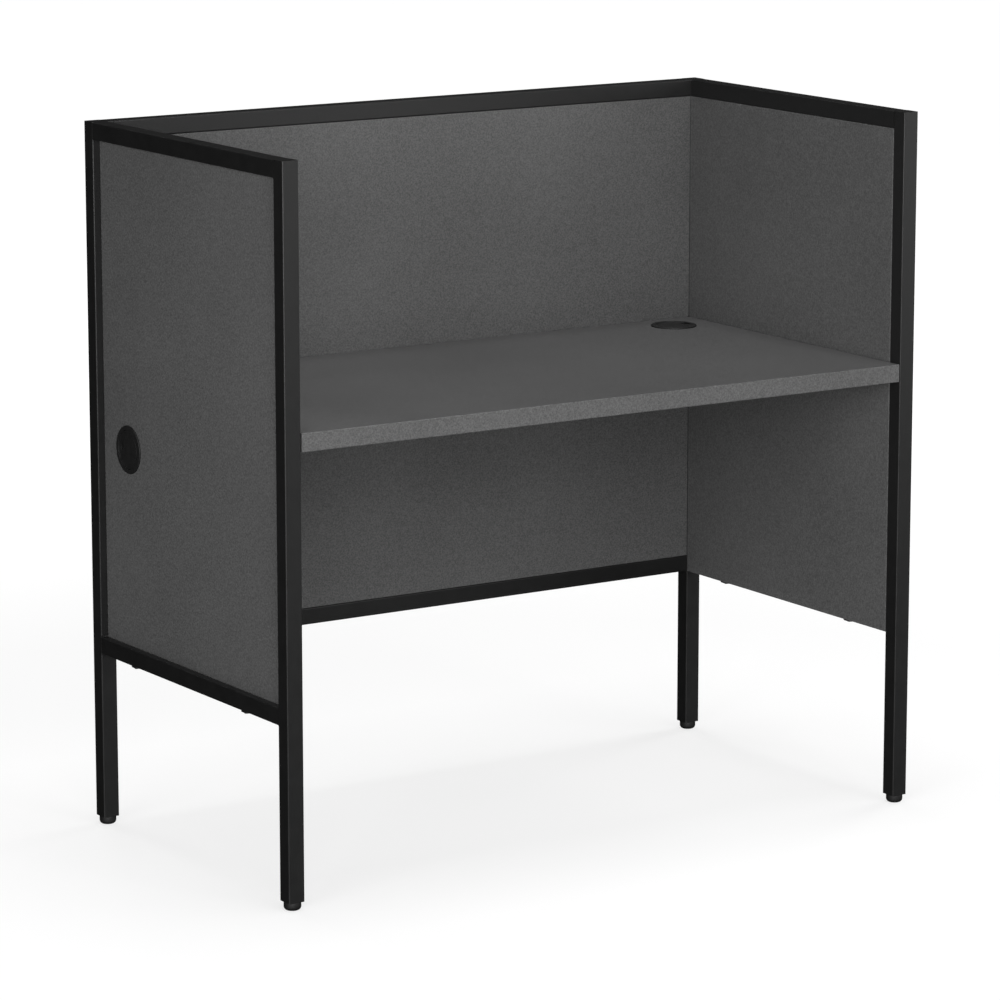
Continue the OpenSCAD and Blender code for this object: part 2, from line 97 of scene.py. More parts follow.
view_distance = 7.6
view_aim = carrel_middle + Vector((-0.026, -0.026, -0.045))
toward_camera = outward_at(-33.04, 11.35)
lens = bpy.data.cameras.new("camera")
lens.sensor_width = 36
lens.lens = 164.6
lens.clip_end = 100
camera = bpy.data.objects.new("camera", lens)
camera.location = view_aim + toward_camera * view_distance
camera.rotation_euler = toward_camera.to_track_quat("Z", "Y").to_euler()
bpy.context.scene.collection.objects.link(camera)
bpy.context.scene.camera = camera
print("camera at", [round(c, 3) for c in camera.location])

# %% [markdown]
# ## Selecting by hand, in code
# Blender's operators act on whatever is selected, so each step starts with
# nothing selected. Picking a piece selects it alone and makes it active.

# %% Clear and pick
def clear_selection():
    if bpy.context.mode != "OBJECT":
        bpy.ops.object.mode_set(mode="OBJECT")
    bpy.ops.object.select_all(action="DESELECT")


def pick(piece):
    clear_selection()
    piece.select_set(True)
    bpy.context.view_layer.objects.active = piece


clear_selection()
print("selected now:", len(bpy.context.selected_objects))

# %% [markdown]
# ## Building blocks for the finishes
# Every finish is made of a few patterns at their real size. A noise pattern
# with a grain of g metres has a scale of 1 / g. The patterns read Object
# coordinates, so they stay still on a part that moves.

# %% Start a finish and add grain
def start_finish(name, roughness, specular=0.5, metallic=0.0):
    finish = bpy.data.materials.new(name)
    finish.use_nodes = True
    tree = finish.node_tree
    skin = tree.nodes["Principled BSDF"]
    skin.inputs["Roughness"].default_value = roughness
    skin.inputs["Specular IOR Level"].default_value = specular
    skin.inputs["Metallic"].default_value = metallic
    place = tree.nodes.new("ShaderNodeTexCoord")
    return finish, tree, skin, place


def grain(tree, place, size, detail=2.0, rough=0.5, stretch=(1, 1, 1)):
    stretcher = tree.nodes.new("ShaderNodeMapping")
    stretcher.inputs["Scale"].default_value = stretch
    noise = tree.nodes.new("ShaderNodeTexNoise")
    noise.inputs["Scale"].default_value = 1 / size
    noise.inputs["Detail"].default_value = detail
    noise.inputs["Roughness"].default_value = rough
    tree.links.new(place.outputs["Object"], stretcher.inputs["Vector"])
    tree.links.new(stretcher.outputs["Vector"], noise.inputs["Vector"])
    return noise.outputs["Fac"]


# %% [markdown]
# A pattern is a number between 0 and 1 at each point. It is spread over another
# range, or combined with a second number, before it drives a colour or a shine.
# Nearly all of a noise lies between 0.3 and 0.7, so that is the usual range.

# %% Work with numbers
noise_low = 0.3
noise_high = 0.7


def stretch_range(tree, value, low, high, to_low, to_high):
    ranger = tree.nodes.new("ShaderNodeMapRange")
    ranger.inputs["From Min"].default_value = low
    ranger.inputs["From Max"].default_value = high
    ranger.inputs["To Min"].default_value = to_low
    ranger.inputs["To Max"].default_value = to_high
    tree.links.new(value, ranger.inputs["Value"])
    return ranger.outputs["Result"]


def vary(tree, noise, to_low, to_high):
    return stretch_range(tree, noise, noise_low, noise_high, to_low, to_high)


def combine(tree, operation, first, second):
    sums = tree.nodes.new("ShaderNodeMath")
    sums.operation = operation
    for socket, value in zip(sums.inputs, (first, second)):
        if isinstance(value, (int, float)):
            socket.default_value = value
        else:
            tree.links.new(value, socket)
    return sums.outputs["Value"]


print("a noise is read from", noise_low, "to", noise_high)

# %% [markdown]
# Colours are blended from a dark and a light one, mostly shares of one grey.
# Fine relief is embossed with a bump of real depth. A finish is then given to
# all the material slots of the parts that wear it.

# %% Blend, emboss and give
def share_of(grey, share):
    return (share * grey,) * 3


def blend_colours(tree, factor, dark, light):
    mixer = tree.nodes.new("ShaderNodeMix")
    mixer.data_type = "RGBA"
    tree.links.new(factor, mixer.inputs["Factor"])
    for socket, value in ((mixer.inputs[6], dark), (mixer.inputs[7], light)):
        if isinstance(value, tuple):
            socket.default_value = value + (1,)
        else:
            tree.links.new(value, socket)
    return mixer.outputs[2]


def emboss(tree, skin, height, depth, strength=1.0):
    bump = tree.nodes.new("ShaderNodeBump")
    bump.inputs["Strength"].default_value = strength
    bump.inputs["Distance"].default_value = depth
    tree.links.new(height, bump.inputs["Height"])
    tree.links.new(bump.outputs["Normal"], skin.inputs["Normal"])


def give(finish, *names):
    for name in names:
        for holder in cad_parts[name].material_slots:
            holder.material = finish
    print(finish.name, "on", len(names), "parts")


# %% [markdown]
# ## Floor
# The carrel stands on a plain pale floor. It is wide enough to have no edge in
# any view, and it glows, a little less near the carrel than further off, so
# that it ends in plain white. It is part of the stage and not of the carrel.

# %% Lay the floor
floor_reach = 40.0
floor_grey = 0.25
fade_start = 1.5
fade_end = 6.5
near_glow = 0.70
far_glow = 1.0
clear_selection()
bpy.ops.mesh.primitive_plane_add(size=2 * floor_reach, location=(0, 0, 0))
floor = bpy.context.object
floor.name = "floor"
floor.visible_glossy = False
floor.visible_diffuse = False
floor_finish, floor_tree, floor_paint, floor_place = start_finish("pale_floor", 0.8, 0.1)
floor_paint.inputs["Base Color"].default_value = share_of(floor_grey, 1) + (1,)
floor_paint.inputs["Emission Color"].default_value = (1, 1, 1, 1)
from_middle = floor_tree.nodes.new("ShaderNodeVectorMath")
from_middle.operation = "LENGTH"
floor_tree.links.new(floor_place.outputs["Object"], from_middle.inputs[0])
floor_fade = stretch_range(
    floor_tree, from_middle.outputs["Value"], fade_start, fade_end, near_glow, far_glow)
floor_tree.links.new(floor_fade, floor_paint.inputs["Emission Strength"])
floor.data.materials.append(floor_finish)
print("floor reaches", floor_reach, "m each way")

# %% [markdown]
# ## Light
# The soft boxes stand on a circle round the carrel, each at its own azimuth and
# elevation. Two low ones on the reader's left and one on the right light the
# screens, one high in front and one overhead light the worktop, and two more,
# behind and on the right, keep those sides readable. The one behind doesn't
# shine in the rails, where it would draw a glaring stripe.

# %% Hang the soft boxes
light_circle = 6.0
light_aim = Vector((0, 0, carrel_size.z / 2))


def soft_box(name, azimuth, elevation, width, height, power, shines=True):
    outward = outward_at(azimuth, elevation)
    lamp = bpy.data.lights.new(name, "AREA")
    lamp.shape = "RECTANGLE"
    lamp.size = width
    lamp.size_y = height
    lamp.energy = power
    holder = bpy.data.objects.new(name, lamp)
    holder.location = light_aim + outward * light_circle
    holder.rotation_euler = outward.to_track_quat("Z", "Y").to_euler()
    holder.visible_glossy = shines
    bpy.context.scene.collection.objects.link(holder)


soft_box("left_light", -60, 12, 2.6, 2.6, 174)
soft_box("left_front_light", -30, 8, 2.6, 2.6, 205)
soft_box("right_front_light", 38, 10, 4.0, 3.0, 90)
soft_box("high_front_light", 5, 32, 2.6, 2.6, 130)
soft_box("overhead_light", 0, 88, 2.6, 2.6, 225)
soft_box("rear_light", 180, 18, 4.0, 2.6, 150, shines=False)
soft_box("right_light", 100, 20, 2.6, 2.6, 140)
print("soft boxes:", len(bpy.data.lights))

# %% [markdown]
# The surroundings are white where the camera sees them. They also send a weak
# light up from below, as a pale floor does, onto what faces down.

# %% Light the surroundings
floor_glow = 0.46
surroundings = bpy.data.worlds.new("surroundings")
surroundings.use_nodes = True
sky_tree = surroundings.node_tree
glow = sky_tree.nodes["Background"]
glow.inputs["Color"].default_value = (1, 1, 1, 1)
white = sky_tree.nodes.new("ShaderNodeBackground")
white.inputs["Color"].default_value = (1, 1, 1, 1)
direction = sky_tree.nodes.new("ShaderNodeTexCoord")
height = sky_tree.nodes.new("ShaderNodeSeparateXYZ")
sky_tree.links.new(direction.outputs["Generated"], height.inputs["Vector"])
ray = sky_tree.nodes.new("ShaderNodeLightPath")
below = combine(sky_tree, "LESS_THAN", height.outputs["Z"], 0.0)
only_soft = combine(sky_tree, "MULTIPLY", below, ray.outputs["Is Diffuse Ray"])
strength = combine(sky_tree, "MULTIPLY", only_soft, floor_glow)
sky_tree.links.new(strength, glow.inputs["Strength"])
choose = sky_tree.nodes.new("ShaderNodeMixShader")
sky_tree.links.new(ray.outputs["Is Camera Ray"], choose.inputs["Fac"])
sky_tree.links.new(glow.outputs["Background"], choose.inputs[1])
sky_tree.links.new(white.outputs["Background"], choose.inputs[2])
sky_tree.links.new(choose.outputs["Shader"], sky_tree.nodes["World Output"].inputs["Surface"])
bpy.context.scene.world = surroundings
bpy.context.scene.view_settings.view_transform = "Standard"
print("glow from below", floor_glow)

# %% [markdown]
# ## Chipboard
# The boards are chipboard between two laminate skins. Where a hole is cut
# through a board its chips show. The finish finds them by depth: whatever lies
# further in than a skin is painted as pale and dark chips of wood.

# %% Show the chips
board_skin = 0.0008
chip_size = 0.0024
dark_chip = (0.16, 0.10, 0.055)
pale_chip = (0.42, 0.30, 0.17)


def board_core(node, axis):
    low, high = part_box(node)
    return axis, abs(low[axis] + high[axis]) / 2, (high[axis] - low[axis]) / 2


def chip_core(tree, place, tone, axis, board_middle, board_half):
    corners = tree.nodes.new("ShaderNodeSeparateXYZ")
    tree.links.new(place.outputs["Object"], corners.inputs["Vector"])
    from_centre = combine(tree, "ABSOLUTE", corners.outputs[axis], 0.0)
    off = combine(tree, "SUBTRACT", from_centre, board_middle)
    depth = combine(tree, "ABSOLUTE", off, 0.0)
    inside = combine(tree, "LESS_THAN", depth, board_half - board_skin)
    chips = tree.nodes.new("ShaderNodeTexVoronoi")
    chips.inputs["Scale"].default_value = 1 / chip_size
    tree.links.new(place.outputs["Object"], chips.inputs["Vector"])
    chip = tree.nodes.new("ShaderNodeSeparateColor")
    tree.links.new(chips.outputs["Color"], chip.inputs["Color"])
    wood = blend_colours(tree, chip.outputs["Red"], dark_chip, pale_chip)
    return blend_colours(tree, inside, tone, wood)


print("chips", chip_size, "m across, under skins of", board_skin)

# %% [markdown]
# ## Grey laminate
# The skins are a dark grey laminate. Close up it is a fine mottle of two greys,
# two to three millimetres across, pressed with an even finer pebble texture that
# keeps it from shining. Wide faint clouds keep a large board from looking flat.

# %% Mix the grey laminate
mottle_size = 0.0026
cloud_size = 0.35
pebble_size = 0.0006
pebble_depth = 0.00008


def grey_laminate(name, grey, shine, core=None):
    finish, tree, skin, place = start_finish(name, shine, specular=0.3)
    mottle = grain(tree, place, mottle_size, 3.0, 0.6)
    clouds = grain(tree, place, cloud_size, 2.0)
    speckle = vary(tree, mottle, -0.5, 0.5)
    tone = combine(tree, "ADD", speckle, vary(tree, clouds, 0.4, 0.6))
    colour = blend_colours(tree, tone, share_of(grey, 0.60), share_of(grey, 1.40))
    if core is not None:
        colour = chip_core(tree, place, colour, *core)
    tree.links.new(colour, skin.inputs["Base Color"])
    pebble = grain(tree, place, pebble_size, 2.0)
    tree.links.new(vary(tree, mottle, shine - 0.06, shine + 0.06), skin.inputs["Roughness"])
    emboss(tree, skin, pebble, pebble_depth, 0.6)
    return finish


print("mottle", mottle_size, "m across, pebbles", pebble_size)

# %% [markdown]
# The worktop is a little glossier than the screens, because sleeves polish it.
# The edging bands are plastic in nearly the same grey, with no chips inside.

# %% Face the boards
board_grey = 0.075
edge_grey = 0.078
panel_laminate = grey_laminate("panel_laminate", board_grey, 0.58, board_core("right_panel", 0))
rear_laminate = grey_laminate("rear_laminate", board_grey, 0.58, board_core("rear_panel", 1))
worktop_laminate = grey_laminate("worktop_laminate", board_grey, 0.52, board_core("worktop", 2))
edge_laminate = grey_laminate("edge_laminate", edge_grey, 0.5)
give(panel_laminate, "left_panel", "right_panel")
give(rear_laminate, "rear_panel")
give(worktop_laminate, "worktop")
give(edge_laminate, *[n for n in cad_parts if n.endswith("_edging")])

# %% [markdown]
# ## Black powder coat
# The frame is coated with baked black powder. It has a faint orange peel about
# a millimetre across and a satin shine that varies a little along a tube. On the
# round corners of the tubes the coat is thinner and polished by hands, and it is
# painted paler there. That is partly the wear and partly a painted highlight where
# the round corners catch the light. There the normal points between two axes,
# which is how the finish finds them.

# %% Find the worn corners, with their painted highlight
flat_face = 0.97
round_corner = 0.80
rub_size = 0.03


# Marks the round corners in rubbed patches, for worn coat and a painted highlight both.
def corner_wear_and_highlight(tree, place):
    facing = tree.nodes.new("ShaderNodeSeparateXYZ")
    tree.links.new(place.outputs["Normal"], facing.inputs["Vector"])
    sides = [combine(tree, "ABSOLUTE", facing.outputs[i], 0.0) for i in range(3)]
    largest = combine(tree, "MAXIMUM", combine(tree, "MAXIMUM", sides[0], sides[1]), sides[2])
    on_corner = stretch_range(tree, largest, flat_face, round_corner, 0.0, 1.0)
    rubbed = stretch_range(tree, grain(tree, place, rub_size, 4.0, 0.7), 0.4, 0.65, 0.2, 1.0)
    return combine(tree, "MULTIPLY", on_corner, rubbed)


print("rubbed patches", rub_size, "m long")

# %% [markdown]
# The coat is a black that changes a little from place to place. Where a corner
# is worn it turns paler and shinier. The paler colour on the round corners is
# also a painted highlight. The orange peel is embossed over all.

# %% Mix the powder coat
peel_size = 0.0011
peel_depth = 0.00006
coat_cloud = 0.02
wear_polish = 0.08


def powder_coat(name, black, shine, specular):
    finish, tree, skin, place = start_finish(name, shine, specular)
    peel = grain(tree, place, peel_size, 2.0)
    tone = grain(tree, place, coat_cloud, 3.0)
    # Paler colour on the round corners: worn coat, and a painted highlight as well.
    wear_and_highlight = corner_wear_and_highlight(tree, place)
    coat = blend_colours(tree, tone, share_of(black, 0.85), share_of(black, 1.25))
    worn_and_highlit = blend_colours(tree, wear_and_highlight, coat, share_of(black, 2.6))
    tree.links.new(worn_and_highlit, skin.inputs["Base Color"])
    polish = vary(tree, tone, shine - 0.02, shine + 0.02)
    rubbed = combine(tree, "MULTIPLY", wear_and_highlight, wear_polish)
    tree.links.new(combine(tree, "SUBTRACT", polish, rubbed), skin.inputs["Roughness"])
    emboss(tree, skin, peel, peel_depth, 0.5)
    return finish


frame_coat = powder_coat("frame_coat", 0.008, 0.42, 0.35)
steelwork_coat = powder_coat("steelwork_coat", 0.012, 0.55, 0.35)
tubes = [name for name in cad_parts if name.endswith(("_post", "_rail"))]
give(frame_coat, "post_top_plates", *tubes)
give(steelwork_coat, "left_cleat", "right_cleat", "rear_cleat", "side_panel_clips", "rear_panel_clips")

# %% [markdown]
# ## Moulded black plastic
# Grommets, foot pads and inserts are moulded plastic with a fine spark-eroded
# texture. They are nearly black, and the grommets are duller than the feet.

# %% Mix the moulded plastic
spark_size = 0.0004
spark_depth = 0.00005
flow_size = 0.01


def moulded_plastic(name, black, shine, specular):
    finish, tree, skin, place = start_finish(name, shine, specular)
    spark = grain(tree, place, spark_size, 2.0)
    tone = grain(tree, place, flow_size, 2.0)
    colour = blend_colours(tree, tone, share_of(black, 0.85), share_of(black, 1.2))
    tree.links.new(colour, skin.inputs["Base Color"])
    tree.links.new(vary(tree, tone, shine - 0.05, shine + 0.05), skin.inputs["Roughness"])
    emboss(tree, skin, spark, spark_depth, 0.5)
    return finish


grommet_plastic = moulded_plastic("grommet_plastic", 0.008, 0.6, 0.28)
foot_nylon = moulded_plastic("foot_nylon", 0.008, 0.55, 0.3)
insert_nylon = moulded_plastic("insert_nylon", 0.018, 0.5, 0.4)
give(grommet_plastic, *[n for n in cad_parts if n.endswith(("_liner", "_cap"))])
give(foot_nylon, *[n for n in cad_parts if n.endswith("_foot_pad")])
give(insert_nylon, *[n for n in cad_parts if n.endswith("_insert")])

# %% [markdown]
# ## Zinc plate
# Screws and studs are zinc plated. The plate blooms in cool and warm patches a
# few millimetres wide, some brighter than others, and is finely scratched.

# %% Mix the zinc plate
bloom_size = 0.004
scratch_size = 0.0003
scratch_depth = 0.00002
scratch_stretch = (1, 1, 0.15)
cool_zinc = (0.50, 0.53, 0.56)
warm_zinc = (0.62, 0.61, 0.57)


def zinc_plate(name):
    finish, tree, skin, place = start_finish(name, 0.32, 0.5, 1.0)
    bloom = grain(tree, place, bloom_size, 3.0)
    tree.links.new(blend_colours(tree, bloom, cool_zinc, warm_zinc), skin.inputs["Base Color"])
    tree.links.new(vary(tree, bloom, 0.25, 0.45), skin.inputs["Roughness"])
    scratches = grain(tree, place, scratch_size, 2.0, 0.6, scratch_stretch)
    emboss(tree, skin, scratches, scratch_depth, 0.4)
    return finish


zinc = zinc_plate("zinc")
give(zinc, *[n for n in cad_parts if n.endswith(("_screws", "_stud", "_studs"))])

# %% [markdown]
# ## Placing new pieces
# A piece is modelled once round a simple origin and then copied. A copy gets
# its own mesh, is moved to its place, and has that place applied, so that the
# object itself stays at the origin, unturned. A matrix made of three directions
# and a spot says where it goes.

# %% Place and settle
def frame_of(along_x, along_y, along_z, spot):
    turn = Matrix((along_x, along_y, along_z)).transposed().to_4x4()
    return Matrix.Translation(spot) @ turn


def settle(piece):
    pick(piece)
    bpy.ops.object.transform_apply(location=True, rotation=True, scale=True)


def place_copy(pattern, name, matrix):
    piece = pattern.copy()
    piece.data = pattern.data.copy()
    piece.name = name
    piece.data.name = name
    bpy.context.scene.collection.objects.link(piece)
    piece.matrix_world = matrix
    settle(piece)
    return piece


def throw_away(piece):
    bpy.data.objects.remove(piece)


# %% [markdown]
# What belongs together is joined into one object. A finished piece is dressed:
# it gets its material, the body it rides on and the slot its finish comes from.

# %% Join and dress
def join_pieces(pieces, name):
    clear_selection()
    for piece in pieces:
        piece.select_set(True)
    bpy.context.view_layer.objects.active = pieces[0]
    if len(pieces) > 1:
        bpy.ops.object.join()
    whole = bpy.context.view_layer.objects.active
    whole.name = name
    whole.data.name = name
    return whole


def dress(piece, finish, body):
    piece.data.materials.clear()
    piece.data.materials.append(finish)
    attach(piece, body)
    print(piece.name, len(piece.data.polygons), "faces, rides on", body)


# %% [markdown]
# ## Choosing edges and faces
# By hand one would click an edge. Here a rule says which edges or faces are
# wanted, by their place or by the way they face, and edit mode opens with just
# those selected.

# %% Choose by rule
def open_for_editing(piece):
    pick(piece)
    bpy.ops.object.mode_set(mode="EDIT")
    bpy.ops.mesh.select_all(action="DESELECT")
    bpy.ops.object.mode_set(mode="OBJECT")


def edit_edges(piece, wanted):
    open_for_editing(piece)
    bpy.context.tool_settings.mesh_select_mode = (False, True, False)
    corners = piece.data.vertices
    for edge in piece.data.edges:
        edge.select = wanted(*[corners[i].co for i in edge.vertices])
    bpy.ops.object.mode_set(mode="EDIT")


def edit_faces(piece, wanted):
    open_for_editing(piece)
    bpy.context.tool_settings.mesh_select_mode = (False, False, True)
    for face in piece.data.polygons:
        face.select = wanted(face.center, face.normal)
    bpy.ops.object.mode_set(mode="EDIT")


def stop_editing():
    bpy.ops.object.mode_set(mode="OBJECT")


def same(first, second):
    return abs(first - second) < 1e-5


# %% [markdown]
# ## Moves that many pieces share
# Most pieces start as a cylinder or a block of the right size. From there, the
# chosen faces are lifted out or sunk in, and the chosen edges are rounded off.

# %% Start, lift and round off
def add_round(sides, radius, low, high):
    clear_selection()
    bpy.ops.mesh.primitive_cylinder_add(
        vertices=sides, radius=radius, depth=high - low, location=(0, 0, (low + high) / 2))
    piece = bpy.context.object
    settle(piece)
    return piece


def add_block(low, high):
    clear_selection()
    bpy.ops.mesh.primitive_cube_add(size=1, location=(low + high) / 2)
    piece = bpy.context.object
    piece.scale = high - low
    settle(piece)
    return piece


def lift(x=0.0, y=0.0, z=0.0):
    bpy.ops.mesh.extrude_region_move(TRANSFORM_OT_translate={"value": (x, y, z)})


def round_off(radius, steps):
    bpy.ops.mesh.bevel(offset=radius, segments=steps, affect="EDGES")
    stop_editing()


# %% [markdown]
# A hole or slot is the shape of a cutter taken away. The last sharp edges of a
# moulded or folded piece are broken by a hair with a Bevel modifier, and gentle
# bends are shaded smooth while sharp edges stay sharp.

# %% Cut, break edges and smooth
def cut_away(piece, cutter):
    cut = piece.modifiers.new("cut", "BOOLEAN")
    cut.operation = "DIFFERENCE"
    cut.object = cutter
    cut.solver = "EXACT"
    pick(piece)
    bpy.ops.object.modifier_apply(modifier="cut")
    throw_away(cutter)


def smooth_by_angle(piece, degrees=35):
    pick(piece)
    bpy.ops.object.shade_smooth_by_angle(angle=math.radians(degrees))


def break_edges(piece, width, steepest):
    soften = piece.modifiers.new("soften", "BEVEL")
    soften.width = width
    soften.segments = 2
    soften.limit_method = "ANGLE"
    soften.angle_limit = math.radians(steepest)
    pick(piece)
    bpy.ops.object.modifier_apply(modifier="soften")
    smooth_by_angle(piece)


# %% [markdown]
# ## Where small repeated parts sit
# The CAD model keeps like screws and clips in one node. A copy of that node is
# merged and split into its loose parts, and the box of each part tells where
# one screw or clip belongs.

# %% Find the loose parts of a node
def loose_boxes(node):
    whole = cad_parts[node].copy()
    whole.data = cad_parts[node].data.copy()
    whole.parent = None
    bpy.context.scene.collection.objects.link(whole)
    pick(whole)
    bpy.ops.object.mode_set(mode="EDIT")
    bpy.ops.mesh.select_all(action="SELECT")
    bpy.ops.mesh.remove_doubles(threshold=1e-6)
    bpy.ops.mesh.separate(type="LOOSE")
    stop_editing()
    boxes = []
    for part in list(bpy.context.selected_objects):
        points = [Vector(vertex.co) for vertex in part.data.vertices]
        low = Vector([min(p[i] for p in points) for i in range(3)])
        high = Vector([max(p[i] for p in points) for i in range(3)])
        boxes.append((low, high, points))
        throw_away(part)
    print(node, "holds", len(boxes), "parts")
    return boxes


# %% [markdown]
# ## Threads
# A thread is one notch of its outline swept round and up. The outline is drawn
# by extruding a single point up a flank, along the crest, down the other flank
# and along the root. Those four steps are shares of the pitch.

# %% Draw one notch of thread
flank_share = 0.42
crest_share = 0.12
root_share = 0.04
spare_turns = 2


def draw_notch(name, crest, depth, pitch):
    clear_selection()
    bpy.ops.mesh.primitive_plane_add(size=pitch, location=(0, 0, 0))
    notch = bpy.context.object
    notch.name = name
    bpy.context.tool_settings.mesh_select_mode = (True, False, False)
    bpy.ops.object.mode_set(mode="EDIT")
    bpy.ops.mesh.select_all(action="SELECT")
    bpy.ops.mesh.merge(type="CENTER")
    bpy.ops.transform.translate(value=(crest - depth, 0, -spare_turns * pitch))
    for outward, share in ((depth, flank_share), (0, crest_share), (-depth, flank_share), (0, root_share)):
        step = (outward, 0, share * pitch)
        bpy.ops.mesh.extrude_vertices_move(TRANSFORM_OT_translate={"value": step})
    stop_editing()
    return notch


print("one notch rises", round(2 * flank_share + crest_share + root_share, 3), "pitch")

# %% [markdown]
# The Screw modifier turns the notch through as many turns as the rod needs,
# with spare turns at both ends. A level cut at each end takes those off, and a
# flat face closes the rod there.

# %% Sweep the thread
def close_end(height, **side):
    bpy.ops.mesh.select_all(action="SELECT")
    bpy.ops.mesh.bisect(plane_co=(0, 0, height), plane_no=(0, 0, 1), threshold=1e-6, **side)
    bpy.ops.mesh.edge_face_add()


def threaded_rod(name, crest, depth, pitch, length, sides):
    rod = draw_notch(name, crest, depth, pitch)
    sweep = rod.modifiers.new("sweep", "SCREW")
    sweep.screw_offset = pitch
    sweep.iterations = math.ceil(length / pitch) + 2 * spare_turns
    sweep.steps = sides
    sweep.render_steps = sides
    bpy.ops.object.modifier_apply(modifier="sweep")
    bpy.ops.object.mode_set(mode="EDIT")
    bpy.ops.mesh.select_all(action="SELECT")
    bpy.ops.mesh.remove_doubles(threshold=1e-6)
    close_end(length, clear_outer=True)
    close_end(0, clear_inner=True)
    bpy.ops.mesh.select_all(action="SELECT")
    bpy.ops.mesh.normals_make_consistent(inside=False)
    stop_editing()
    return rod


# %% [markdown]
# ## Foot studs
# Each foot is a zinc-plated M8 stud. Its round foot is held in the pad, a thin
# hexagon takes the spanner, and its thread climbs into the plastic insert. The
# thread only shows when a foot is screwed out, but then it shows well.

# %% Model one foot stud
stud_low, stud_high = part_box("front_left_foot_stud")
stud_pitch = 0.00125
stud_crest = 0.00397
stud_depth = 0.00068
stud_foot_r = 0.007
stud_foot_t = 0.003
stud_foot_round = 0.0004
hexagon_recess = 0.0005
hexagon_low = post_low.z + hexagon_recess
hexagon_t = 0.0045
hexagon_r = (stud_high.x - stud_low.x) / 2
hexagon_round = 0.0005


def level_edge(a, b):
    return same(a.z, b.z)


thread = threaded_rod("thread", stud_crest, stud_depth, stud_pitch, stud_high.z - stud_low.z, 32)
thread.location.z = stud_low.z
settle(thread)
stud_foot = add_round(48, stud_foot_r, stud_low.z, stud_low.z + stud_foot_t)
edit_edges(stud_foot, level_edge)
round_off(stud_foot_round, 2)
hexagon = add_round(6, hexagon_r, hexagon_low, hexagon_low + hexagon_t)
hexagon.rotation_euler.z = math.radians(30)
settle(hexagon)
edit_edges(hexagon, level_edge)
round_off(hexagon_round, 2)
foot_stud_pattern = join_pieces([thread, stud_foot, hexagon], "foot_stud_pattern")
smooth_by_angle(foot_stud_pattern, 30)
print("foot stud has", len(foot_stud_pattern.data.polygons), "faces")

# %% [markdown]
# ## Foot pads
# The pads are black nylon pucks, round like a bowl below, so that they slide on
# a carpet. A cylinder is bevelled below and above, and its sole is inset and
# pressed in, with a low boss left in the middle.

# %% Model one foot pad
pad_low, pad_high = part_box("front_left_foot_pad")
pad_r = (pad_high.x - pad_low.x) / 2
pad_h = pad_high.z - pad_low.z
pad_round = 0.0065
pad_top_round = 0.001
sole_rim = 0.0015
sole_press = 0.0006
boss_rim = 0.003
boss_h = 0.0004
foot_pad_pattern = add_round(64, pad_r, 0, pad_h)
foot_pad_pattern.name = "foot_pad_pattern"
edit_edges(foot_pad_pattern, lambda a, b: same(a.z, 0) and same(b.z, 0))
round_off(pad_round, 10)
edit_edges(foot_pad_pattern, lambda a, b: same(a.z, pad_h) and same(b.z, pad_h))
round_off(pad_top_round, 3)
edit_faces(foot_pad_pattern, lambda centre, normal: normal.z < -0.99 and centre.length < 1e-4)
bpy.ops.mesh.inset(thickness=sole_rim)
lift(z=sole_press)
bpy.ops.mesh.inset(thickness=boss_rim)
lift(z=-boss_h)
stop_editing()
print("pad", round(2 * pad_r, 4), "across and", round(pad_h, 4), "high")

# %% [markdown]
# The stud's round foot turns in a socket inside the pad. The top face is inset
# to a narrow neck, sunk to the socket's roof, widened there, and sunk again to
# the socket's floor.

# %% Sink the socket
socket_floor = 0.005
socket_h = 0.0036
socket_r = 0.0073
neck_r = 0.0043
socket_roof = socket_floor + socket_h
spread = socket_r / neck_r
edit_faces(foot_pad_pattern, lambda centre, normal: normal.z > 0.99 and same(centre.z, pad_h))
bpy.ops.mesh.inset(thickness=pad_r - pad_top_round - neck_r)
lift(z=socket_roof - pad_h)
lift()
bpy.ops.transform.resize(value=(spread, spread, 1), center_override=(0, 0, socket_roof))
lift(z=-socket_h)
stop_editing()
smooth_by_angle(foot_pad_pattern)
print("socket", round(2 * socket_r, 4), "across under a neck of", round(2 * neck_r, 4))

# %% [markdown]
# A pad slides up and down while its stud turns in it, so the two ride on
# different bodies under each post.

# %% Stand a foot under each post
for corner in ("front_left", "front_right", "rear_left", "rear_right"):
    low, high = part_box(corner + "_foot_pad")
    spot = Matrix.Translation(((low.x + high.x) / 2, (low.y + high.y) / 2, 0))
    stud = place_copy(foot_stud_pattern, corner + "_threaded_stud", spot)
    dress(stud, zinc, corner + "_stud")
    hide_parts(corner + "_foot_stud")
    pad = place_copy(foot_pad_pattern, corner + "_nylon_pad", spot)
    dress(pad, foot_nylon, corner + "_pad")
    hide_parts(corner + "_foot_pad")
throw_away(foot_stud_pattern)
throw_away(foot_pad_pattern)

# %% [markdown]
# ## Grommet caps
# A grommet cap is a moulded disc with a skirt, and a notch in its rim lets the
# cables through. The disc starts as a cylinder whose upper rim is bevelled. A
# fine ring is pressed into its face, and the skirt is extruded from below.

